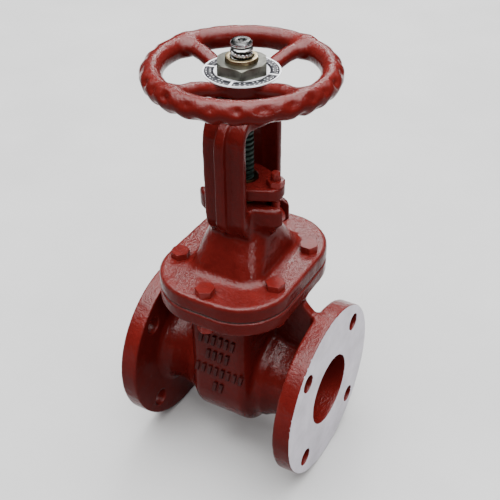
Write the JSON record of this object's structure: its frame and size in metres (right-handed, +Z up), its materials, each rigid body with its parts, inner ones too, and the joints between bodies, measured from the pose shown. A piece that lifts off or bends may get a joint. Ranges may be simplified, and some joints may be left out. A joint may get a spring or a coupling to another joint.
{
  "type": "gate valve",
  "caption": "Flanged cast gate valve with an outside screw and yoke, a rising stem and a scalloped handwheel.",
  "frame": {"origin": "where the pipe axis crosses the stem axis", "axes": "+X along the pipe axis, +Z up along the stem towards the handwheel, +Y across the pipe"},
  "size_m": [0.2032, 0.1906, 0.4653],
  "materials": {
    "red_paint": "glossy oxide-red enamel over an as-cast iron skin",
    "red_paint_body": "glossy oxide-red enamel over cast iron, with bare machined flange faces",
    "bare_iron": "machined, satin",
    "bronze": "machined bronze, dull",
    "bright_steel": "turned and threaded, lightly greased",
    "plated_steel": "dull zinc plate, scuffed",
    "printed_plate": "pale enamelled disc with dark marks",
    "graphite_packing": "braided graphite packing",
    "gasket_sheet": "compressed fibre gasket sheet"
  },
  "bodies": {
    "casing": {"body": "red_paint_body", "bonnet": "red_paint", "body_gasket": "gasket_sheet", "backseat_bushing": "bronze", "lower_thrust_washer": "bronze", "upper_thrust_washer": "bronze", "yoke_retainer": "plated_steel", "seat_ring_left": "bronze", "gland_eyebolt_left": "red_paint", "eyebolt_pin_left": "red_paint", "seat_ring_right": "bronze", "gland_eyebolt_right": "red_paint", "eyebolt_pin_right": "red_paint", "bonnet_bolt_1": "red_paint", "bonnet_nut_1": "red_paint", "bonnet_bolt_2": "red_paint", "bonnet_nut_2": "red_paint", "bonnet_bolt_3": "red_paint", "bonnet_nut_3": "red_paint", "bonnet_bolt_4": "red_paint", "bonnet_nut_4": "red_paint", "bonnet_bolt_5": "red_paint", "bonnet_nut_5": "red_paint", "bonnet_bolt_6": "red_paint", "bonnet_nut_6": "red_paint", "packing_ring_1": "graphite_packing", "packing_ring_2": "graphite_packing", "packing_ring_3": "graphite_packing", "packing_ring_4": "graphite_packing", "packing_ring_5": "graphite_packing"},
    "wheel": {"handwheel": "red_paint", "stem_nut": "bronze", "handwheel_key": "bright_steel", "index_plate": "printed_plate", "handwheel_nut": "plated_steel"},
    "stem": {"stem": "bright_steel", "wedge": "bare_iron", "wedge_facing_left": "bronze", "wedge_facing_right": "bronze"},
    "gland": {"gland_flange": "red_paint", "gland_follower": "bronze", "gland_nut_left": "red_paint", "gland_nut_right": "red_paint"}
  },
  "joints": [
    {"name": "wheel_spin", "type": "hinge", "parent": "casing", "child": "wheel", "pos_m": [0, 0, 0.34], "axis": [0, 0, 1], "range_deg": [0, 6120]},
    {"name": "stem_lift", "type": "slide", "parent": "casing", "child": "stem", "axis": [0, 0, 1], "range_m": [0, 0.085]},
    {"name": "gland_take_up", "type": "slide", "parent": "casing", "child": "gland", "axis": [0, 0, 1], "range_m": [-0.006, 0], "deforming": ["packing_ring_1", "packing_ring_2", "packing_ring_3", "packing_ring_4", "packing_ring_5"]}
  ],
  "couplings": [
    {"joint": "stem_lift", "follows": "wheel_spin", "m_per_rad": 0.00079577}
  ]
}
